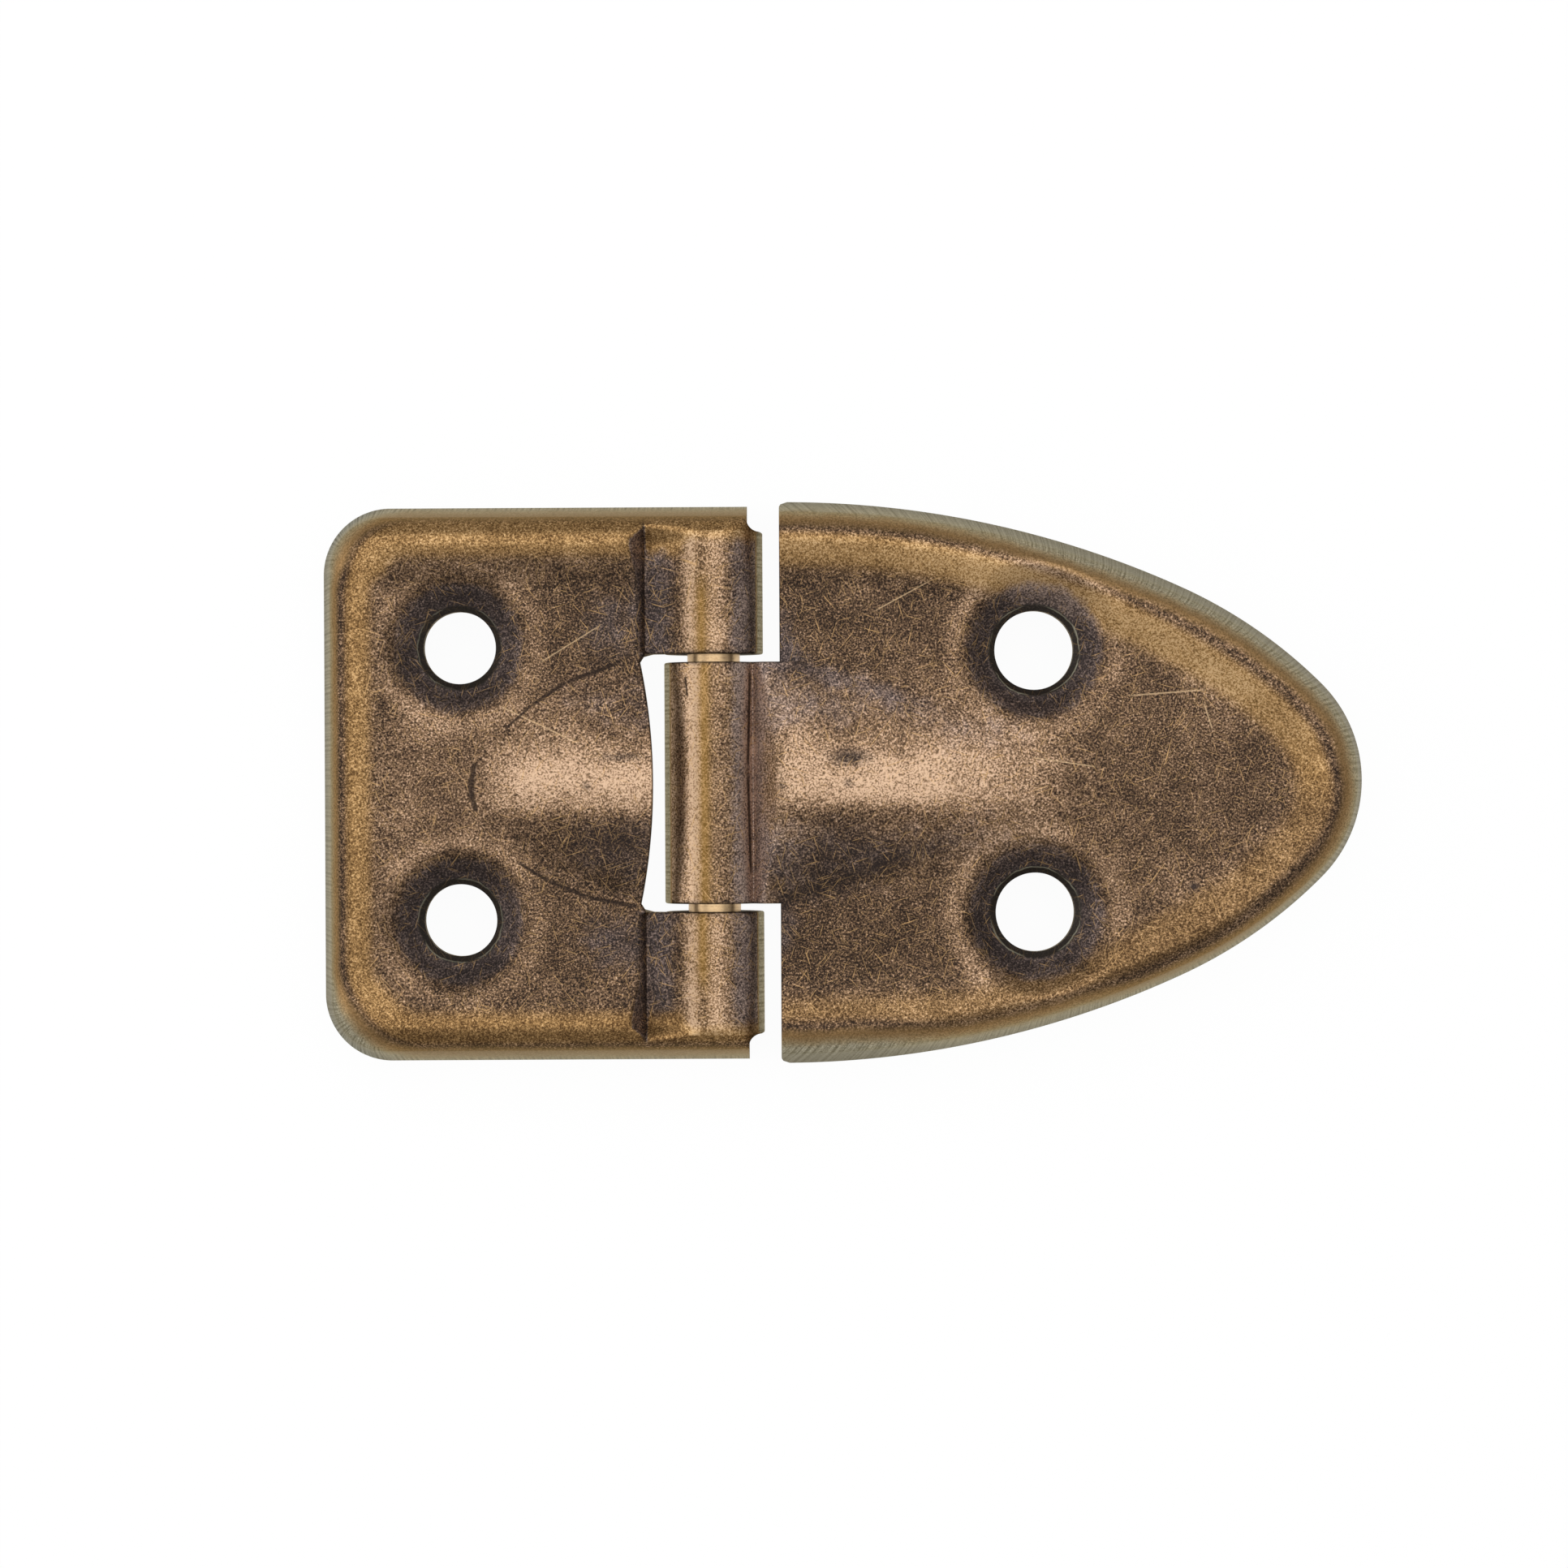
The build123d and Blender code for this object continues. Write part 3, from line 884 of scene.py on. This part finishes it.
        # Field, hump and creases
        # Painted highlight along the hump's crest, sharp on its lower edge, over brass rubbed bright there
        crest = bell(y, 0.1, 2.5) * rise(y, -3.0, 1.7) * rise(x, -17, 5)
        wide = spots(x, y, *base_bright_spots) + 0.1 * bell(d, 4.0, 1.0) * rise(y, 11, 2)
        # Painted shade on the hump's flanks, with patina on the slope beside the crease
        shade_and_patina = (0.36 * bell(y, 5.4, 2.0) + 0.4 * bell(y, -5.2, 1.5)) * rise(x, -13, 5)
        shade_and_patina = shade_and_patina + 0.72 * bell(x, -3.7, 1.3) * (ay > 8.4) * fade(ay, 14.5, 2)
        shade_and_patina = shade_and_patina + spots(x, ay, (-7.0, 10.5, 2.6, 2.8, 0.6))
        # Painted shade on the steep crease wall left of the knuckles, where it lies below the plate
        unfolded = base_height(np.minimum(x, crease_x - 1.7), y)
        low = rise(unfolded - z, 0.05, 0.1) * (x < crease_x + 0.02) * (x > crease_x - 2.0) * (ay > knuckle_in - 0.4)
        # Dark spots, painted shade on the hump's lower flank and the crease wall, and a dark line along the crease
        stain_and_shade = spots(x, y, *base_dark_spots) + 0.5 * bell(y, -3.9, 1.6) * rise(x, -12, 5) + 0.16 * low
        stain_and_shade = stain_and_shade + 0.6 * bell(x, crease_x - 0.1, 0.13) * (ay > knuckle_in - 0.2) * fade(ay, 17, 0.4)
        wear = 0.29 - 0.05 * rise(x, -14, 5) * rise(y, 6, 4)
        # Knuckles
        on_knuckle = (ay > knuckle_in - 0.01) & (ay < knuckle_out + 0.01)
        from_edge = ay - knuckle_in
        lean, before, after, behind, band_from = -13.5, 0.46, 0.32, 0.26, 12
    halo = halo * bell(hole, 2.85, 0.7) * (1 - rim)
    # Wear, with painted highlights on the hump's crest and the rim and painted shade on the flanks and the shoulder
    wear_and_highlight = wear + 0.58 * crest + gain * rim + wide + halo - 0.06 * shade_and_patina - shoulder_shade + 0.36 * low
    cool = spots(x, ay, (2, 5, 13, 4, 0.6)) * fade(crest, 0, 0.5)
    # Dark: patina in the dimples, with painted shade on the flanks and the crease wall
    dark = np.max([fade(hole, 1.0, 1.6), shade_and_patina, cool, 0.8 * low], axis=0)
    stain_and_shade = np.maximum(stain_and_shade, 0.66 * fade(hole, 0.1, 2.0))
    # The same marks on the barrel, by the angle from its top towards the lid: painted highlights either side of a
    # painted reflected stripe, painted shade towards the lid and low on the far side, a painted floor reflection low on
    # both sides, and painted shade at the knuckle ends beside the gaps
    turn = np.degrees(np.arctan2(x, z - pin_z))
    on_barrel = on_knuckle * (np.abs(x) < 3.4) * fade(np.hypot(x, z - pin_z), knuckle_r + 0.02, 0.25)
    barrel_painted_light = 0.38 + before * bell(turn, lean - 13, 10) + after * bell(turn, lean + 17, 13)
    barrel_painted_light = barrel_painted_light - 0.12 * bell(turn, lean, 5) + behind * rise(turn, 10, 30) + 0.34 * rise(-turn, 30, 14)
    barrel_gold = 0.35 * bell(turn, lean, 30)
    barrel_shade = 0.85 * rise(turn, 8, 26) + 0.4 * rise(-turn, 56, 12)
    barrel_inset = 4 - 3.7 * rise(np.abs(turn), 50, 14) + 3.4 * rise(np.abs(turn), 92, 16)
    barrel_stain_and_shade = 0.55 * fade(from_edge, 0, 0.42)
    if not lid:
        end_rim = rise(ay, 15.2, 1.6)
        barrel_painted_light = barrel_painted_light + 0.12 * end_rim
        barrel_gold = np.maximum(barrel_gold, 0.8 * end_rim)
        barrel_shade = barrel_shade * (1 - end_rim)
        barrel_inset = np.where(z > pin_z, np.minimum(barrel_inset, np.maximum(d, 1.3)), barrel_inset)
        barrel_stain_and_shade = np.maximum(barrel_stain_and_shade, stain_and_shade)
    marks = {
        "wear_and_highlight": blend(wear_and_highlight, barrel_painted_light, on_barrel),
        "gold": blend(gold, barrel_gold, on_barrel),
        "dark": blend(dark, barrel_shade, on_barrel),
        "stain_and_shade": blend(stain_and_shade, barrel_stain_and_shade, on_barrel),
        "reflected_stripe": bell(turn, lean, 6) * fade(ay, band_from, 2.5) * on_barrel,
        "inset": (blend(edge + side_light_shift, barrel_inset, on_barrel) + 1) / inset_span,
        "corner": ribbed * fade(d, 0.15, 0.7),
        "ring": hole / ring_span,
    }
    for label, values in marks.items():
        marks[label] = np.where(outside, np.clip(values, 0, 1), inside_values[label])
    marks["along"] = np.where(on_barrel > 0.5, y, along) / along_span
    return marks


base_skin = make_piece("base_leaf_skin", base_verts, base_faces, leaf_marks(base_verts, base_outside, False))
lid_skin = make_piece("lid_leaf_skin", lid_verts, lid_faces, leaf_marks(lid_verts, lid_outside, True))


def colour(red, green, blue):
    """A colour given as it shows on screen, 0 to 255."""
    linear = []
    for value in (red, green, blue):
        v = value / 255
        linear.append(v / 12.92 if v <= 0.04045 else ((v + 0.055) / 1.055) ** 2.4)
    return (*linear, 1)


class Nodes:
    """A material and short calls that add nodes to it."""

    def __init__(self, name):
        self.material = bpy.data.materials.new(name)
        self.material.use_nodes = True
        self.tree = self.material.node_tree
        self.shader = self.tree.nodes["Principled BSDF"]
        self.output = self.tree.nodes["Material Output"]

    def add(self, kind, **settings):
        node = self.tree.nodes.new(kind)
        for key, value in settings.items():
            setattr(node, key, value)
        return node

    def feed(self, node, sources):
        """Links an output to each named input, or sets the input when its source is a constant."""
        for key, source in sources.items():
            if hasattr(source, "is_output"):
                self.tree.links.new(source, node.inputs[key])
            else:
                node.inputs[key].default_value = source

    def math(self, operation, *values, clamp=False):
        node = self.add("ShaderNodeMath", operation=operation, use_clamp=clamp)
        self.feed(node, dict(enumerate(values)))
        return node.outputs[0]

    def times(self, a, b):
        return self.math("MULTIPLY", a, b)

    def largest(self, values):
        best = values[0]
        for value in values[1:]:
            best = self.math("MAXIMUM", best, value)
        return best

    def sway(self, value, noise, strength, clamp=False):
        """A value moved up and down by a noise."""
        return self.math("MULTIPLY_ADD", self.math("SUBTRACT", noise, 0.5), strength, value, clamp=clamp)

    def ramp(self, value, shades):
        node = self.add("ShaderNodeValToRGB")
        self.feed(node, {0: value})
        elements = node.color_ramp.elements
        while len(elements) < len(shades):
            elements.new(0.5)
        for element, (place, *shade) in zip(elements, shades):
            element.position = place
            element.color = colour(*shade)
        return node.outputs[0]

    def mix(self, share, a, b, blend_type="MIX"):
        node = self.add("ShaderNodeMix", data_type="RGBA", blend_type=blend_type)
        self.feed(node, {0: share, 6: a, 7: b})
        return node.outputs[2]

    def step(self, value, low, high):
        node = self.add("ShaderNodeMapRange", interpolation_type="SMOOTHSTEP")
        self.feed(node, {0: value, 1: low, 2: high})
        return node.outputs[0]

    def step_down(self, value, low, high):
        return self.math("SUBTRACT", 1.0, self.step(value, low, high))

    def mark(self, name):
        return self.add("ShaderNodeAttribute", attribute_name=name).outputs["Fac"]

    def place(self, turn=0.0, stretch=(1, 1, 1), start=(0, 0)):
        """Object coordinates in millimetres from a start, turned about Z and stretched."""
        node = self.add("ShaderNodeMapping", vector_type="TEXTURE")
        source = self.add("ShaderNodeTexCoord").outputs["Object"]
        location = (start[0] * mm, start[1] * mm, 0)
        scale = [mm * s for s in stretch]
        self.feed(node, {"Vector": source, "Location": location, "Rotation": (0, 0, radians(turn)), "Scale": scale})
        return node.outputs[0]

    def stroke(self, x, y, end_x, end_y, width):
        """A straight thin mark between two places in plan, soft at its sides and ends."""
        turn = degrees(atan2(end_y - y, end_x - x))
        stretch = (hypot(end_x - x, end_y - y), width, 1)
        split = self.add("ShaderNodeSeparateXYZ")
        self.feed(split, {0: self.place(turn, stretch, (x + pin_x, y))})
        side = self.step_down(self.math("ABSOLUTE", split.outputs[1]), 0.3, 1.0)
        middle = self.math("ABSOLUTE", self.math("SUBTRACT", split.outputs[0], 0.5))
        return self.times(side, self.step_down(middle, 0.35, 0.5))

    def noise(self, vector, scale, detail, rough):
        node = self.add("ShaderNodeTexNoise")
        self.feed(node, {"Vector": vector, "Scale": scale, "Detail": detail, "Roughness": rough})
        return node.outputs["Fac"]

    def metal(self, surface, rough, height, strength):
        """Metal with a colour, a roughness and a fine grain."""
        grain = self.add("ShaderNodeBump")
        self.feed(grain, {"Strength": strength, "Distance": grain_depth, "Height": height})
        normal = grain.outputs[0]
        self.feed(self.shader, {"Base Color": surface, "Metallic": 1.0, "Roughness": rough, "Normal": normal})
        return self.material


speckle_scale = 7.5
speckle_contrast = 2.9
tick_length = 2.2
tick_width = 0.08
tick_share = 0.7
tick_turns = (18, 52, 74, 108, 131, 163)
rib_scale = 5.5
arc_at = 0.36
grain_depth = 0.015 * mm

# Marks drawn on the leaves: start, end and width
lid_scratches = (
    (27.2, 5.6, 32.8, 6.0, 0.07),
    (32.4, 5.2, 33.0, 3.3, 0.07),
    (20.8, 1.6, 25.5, 0.9, 0.06),
    (10.5, 11.2, 14.6, 13.4, 0.06),
)
lid_creases = ((-1.85, 7.1, -1.7, 5.6, 0.09), (2.45, 8.0, 2.25, 0.5, 0.13), (2.25, 1.2, 2.45, -6.5, 0.13))
base_scratches = ((-14.4, 5.3, -8.6, 2.5, 0.06), (-11.6, 7.9, -7.2, 10.6, 0.06))
base_creases = (
    (-13.9, 3.5, -11.9, 5.3, 0.12),
    (-12.1, 5.1, -9.6, 6.8, 0.17),
    (-9.9, 6.6, -5.9, 8.1, 0.2),
    (-13.1, -5.1, -10.9, -6.5, 0.15),
    (-11.2, -6.3, -8.2, -7.6, 0.19),
    (-8.6, -7.5, -4.8, -8.2, 0.19),
    (-15.75, 1.5, -16.05, 0.1, 0.3),
    (-16.05, 0.4, -16.0, -0.9, 0.34),
    (-16.05, -0.6, -15.7, -1.9, 0.26),
)

# Shades: the place on a ramp, and red, green and blue
brown_shades = ((0.0, 38, 31, 27), (0.3, 76, 60, 47), (0.62, 122, 97, 74), (0.85, 162, 134, 109), (1.0, 189, 160, 133))
golden_shades = ((0.0, 80, 58, 36), (0.4, 124, 95, 60), (0.75, 166, 132, 88), (1.0, 196, 163, 120))
sooty_shades = ((0.0, 48, 43, 42), (0.35, 80, 69, 66), (0.8, 134, 116, 107), (1.0, 178, 155, 141))
# The wall: grey and olive near the outline for a painted reflection of the white floor, turning to brass brown inwards
wall_and_reflection_shades = (
    (0.0, 128, 125, 114),
    (0.267, 154, 151, 138),
    (0.433, 180, 172, 150),
    (0.533, 168, 150, 118),
    (0.617, 156, 130, 94),
    (0.7, 148, 118, 80),
)
rib_shades = ((0.36, 196, 194, 188), (0.6, 255, 255, 255))
wall_speckle_shades = ((0.32, 158, 154, 144), (0.62, 255, 255, 255))
corner_shades = ((0.36, 64, 65, 60), (0.6, 136, 138, 130))
rod_shades = ((0.0, 96, 72, 50), (0.5, 176, 142, 106), (1.0, 226, 194, 150))
mustard_dark = colour(112, 84, 40)
mustard_light = colour(158, 124, 74)
soot_shade = colour(46, 40, 39)
tick_shade = colour(196, 158, 108)
scratch_shade = colour(200, 172, 134)
crease_shade = colour(38, 31, 28)
ring_shade = colour(58, 55, 51)
arc_shade = colour(150, 146, 128)


def leaf_material(name, creases, scratches, ring_bright):
    """Antique brass: dark patina in the hollows, rubbed through to tan and cream on the high places, with painted
    highlights, shade and reflections on the rims, humps, walls and knuckles.
    """
    n = Nodes(name)
    here = n.place()
    stain_and_shade = n.mark("stain_and_shade")
    inset = n.math("MULTIPLY_ADD", n.mark("inset"), inset_span, -1.0)
    speckle = n.noise(here, speckle_scale, 2.0, 0.75)
    patches = n.noise(here, 0.35, 3.0, 0.6)
    clouds = n.noise(here, 0.9, 3.0, 0.6)
    share = n.sway(n.sway(n.mark("wear_and_highlight"), patches, 0.5), clouds, 0.35)
    tone = n.sway(share, speckle, speckle_contrast, clamp=True)
    uneven = n.sway(n.mark("dark"), clouds, 0.8, clamp=True)
    surface = n.mix(n.step(n.mark("gold"), 0.1, 0.9), n.ramp(tone, brown_shades), n.ramp(tone, golden_shades))
    # Sooty shades: patina in the dimples, with painted shade on the hump's flanks, the crease wall and the knuckles
    surface = n.mix(n.step(uneven, 0.2, 0.85), surface, n.ramp(tone, sooty_shades))
    # Painted reflection: a mustard stripe along the knuckles at one angle from their top
    surface = n.mix(n.times(n.mark("reflected_stripe"), 0.85), surface, n.mix(tone, mustard_dark, mustard_light))
    # Soot: stains and patina in the dimples, with a painted shadow along the lid's lower fold, painted shade under the
    # base hump's crest and at the knuckle ends
    soot = n.times(n.sway(stain_and_shade, speckle, -0.9, clamp=True), n.step(stain_and_shade, 0.02, 0.2))
    surface = n.mix(soot, surface, soot_shade)
    # Draw marks run down the walls
    ribs = n.add("ShaderNodeTexNoise", noise_dimensions="1D")
    n.feed(ribs, {"W": n.times(n.mark("along"), along_span), "Scale": rib_scale, "Detail": 2.0})
    ribs = ribs.outputs["Fac"]
    # Wall colour near the outline: a painted reflection of the white floor, with draw marks and speckle multiplied in
    wavy = n.sway(inset, clouds, 0.4)
    wall = n.ramp(n.math("DIVIDE", n.math("ADD", wavy, 1.0), 3.0), wall_and_reflection_shades)
    wall = n.mix(n.step_down(inset, 0.3, 0.8), wall, n.ramp(ribs, rib_shades), "MULTIPLY")
    wall = n.mix(0.75, wall, n.ramp(speckle, wall_speckle_shades), "MULTIPLY")
    wall = n.mix(n.step(n.mark("corner"), 0.05, 0.85), wall, n.ramp(ribs, corner_shades))
    surface = n.mix(n.step_down(wavy, 1.05, 1.75), surface, wall)
    # Short bright ticks in six directions
    ticks = []
    for turn in tick_turns:
        streak = n.noise(n.place(turn, (tick_length, tick_width, 1)), 1.0, 1.0, 0.5)
        ticks.append(n.step(streak, tick_share, tick_share + 0.05))
    tick = n.times(n.largest(ticks), n.step(inset, 1.6, 3.2))
    surface = n.mix(n.times(tick, 0.55), surface, tick_shade)
    for line in scratches:
        surface = n.mix(n.times(n.stroke(*line), 0.45), surface, scratch_shade)
    drawn = [n.stroke(*line) for line in creases]
    for line in drawn:
        surface = n.mix(n.times(line, 0.85), surface, crease_shade)
    # Thin bright arcs where the coined ring catches the light
    ring = n.times(n.mark("ring"), ring_span)
    arc = n.math("ABSOLUTE", n.math("SUBTRACT", n.sway(ring, clouds, 0.3), arc_at))
    arc = n.times(n.step_down(arc, 0.015, 0.06), n.step(n.noise(n.place(40), 0.5, 1.0, 0.5), 0.4, 0.55))
    surface = n.mix(n.times(n.step_down(ring, 0.25, 0.6), 0.7), surface, ring_shade)
    surface = n.mix(n.times(arc, ring_bright), surface, arc_shade)
    n.feed(n.shader, {"Specular Tint": (0.72, 0.66, 0.52, 1)})
    rough = n.math("MULTIPLY_ADD", uneven, 0.06, n.math("MULTIPLY_ADD", tone, -0.12, 0.48))
    height = n.math("MULTIPLY_ADD", n.largest(drawn), -2.0, n.math("MULTIPLY_ADD", tick, -0.5, speckle))
    return n.metal(surface, rough, height, 0.35)


def pin_material(name):
    """Drawn brass rod, dulled, with fine marks round it."""
    n = Nodes(name)
    rings = n.noise(n.place(0, (3, 0.09, 3)), 1.0, 3.0, 0.6)
    speckle = n.noise(n.place(), 5.0, 3.0, 0.7)
    tone = n.sway(n.sway(0.95, rings, 1.2), speckle, 1.3, clamp=True)
    return n.metal(n.ramp(tone, rod_shades), n.math("MULTIPLY_ADD", speckle, 0.2, 0.26), rings, 0.3)


base_skin.data.materials.append(leaf_material("base_brass", base_creases, base_scratches, 0.55))
lid_skin.data.materials.append(leaf_material("lid_brass", lid_creases, lid_scratches, 0.8))
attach(base_skin, "base")
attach(lid_skin, "lid")
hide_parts("base_leaf")
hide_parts("lid_leaf")

pin = frame["nodes"]["hinge_pin"]
rod = pin_material("drawn_brass")
if pin.material_slots:
    for socket in pin.material_slots:
        socket.material = rod
else:
    pin.data.materials.append(rod)

# Floor, in metres: keeps a shadow, and shows white to the camera and in reflections
floor_half = 0.4
floor_mesh = bpy.data.meshes.new("floor")
floor_corners = [(a * floor_half, b * floor_half, 0) for a, b in ((-1, -1), (1, -1), (1, 1), (-1, 1))]
floor_mesh.from_pydata(floor_corners, [], [(0, 1, 2, 3)])
floor = add_object("floor", floor_mesh, (0, 0, -0.0001))
white = Nodes("white_floor")
paths = white.add("ShaderNodeLightPath").outputs
seen = white.largest([paths["Is Camera Ray"], paths["Is Glossy Ray"], paths["Is Transmission Ray"]])
glow = white.add("ShaderNodeEmission")
white.feed(glow, {"Strength": 1.0})
matte = white.add("ShaderNodeBsdfDiffuse")
white.feed(matte, {"Color": (0.9, 0.9, 0.9, 1)})
shown = white.add("ShaderNodeMixShader")
white.feed(shown, {0: white.times(seen, 0.96), 1: matte.outputs[0], 2: glow.outputs[0]})
white.feed(white.output, {"Surface": shown.outputs[0]})
floor_mesh.materials.append(white.material)


def add_lamp(name, size, energy, location, turn):
    """A rectangular lamp, its size and place in metres."""
    data = bpy.data.lights.new(name, "AREA")
    data.shape = "RECTANGLE"
    data.size, data.size_y = size
    data.energy = energy
    add_object(name, data, location, turn)


# Light: a plain world, a large soft lamp overhead towards the back, and a weaker one on the left
world = bpy.data.worlds.new("studio")
world.use_nodes = True
backdrop = world.node_tree.nodes["Background"].inputs
backdrop["Color"].default_value = (0.68, 0.68, 0.68, 1)
backdrop["Strength"].default_value = 1.0
scene.world = world
add_lamp("overhead", (0.62, 0.5), 1.2, (0, 0.12, 0.42), (-15, 0, 0))
add_lamp("side", (0.3, 0.5), 0.6, (-0.42, 0.06, 0.17), (0, -68, 0))

# Camera: straight down, in millimetres from the origin of the frame
view_x = -4.0
view_y = -0.1
view_turn = -0.3
view_width = 105.7
view_distance = 300.0
sensor = 36.0
camera_data = bpy.data.cameras.new("camera")
camera_data.sensor_width = sensor
camera_data.lens = sensor * view_distance / view_width
camera_data.clip_start = 0.01
camera_data.clip_end = 10
camera = add_object("camera", camera_data, (view_x * mm, view_y * mm, view_distance * mm), (0, 0, view_turn))
scene.camera = camera
scene.view_settings.view_transform = "Standard"

bpy.context.view_layer.update()
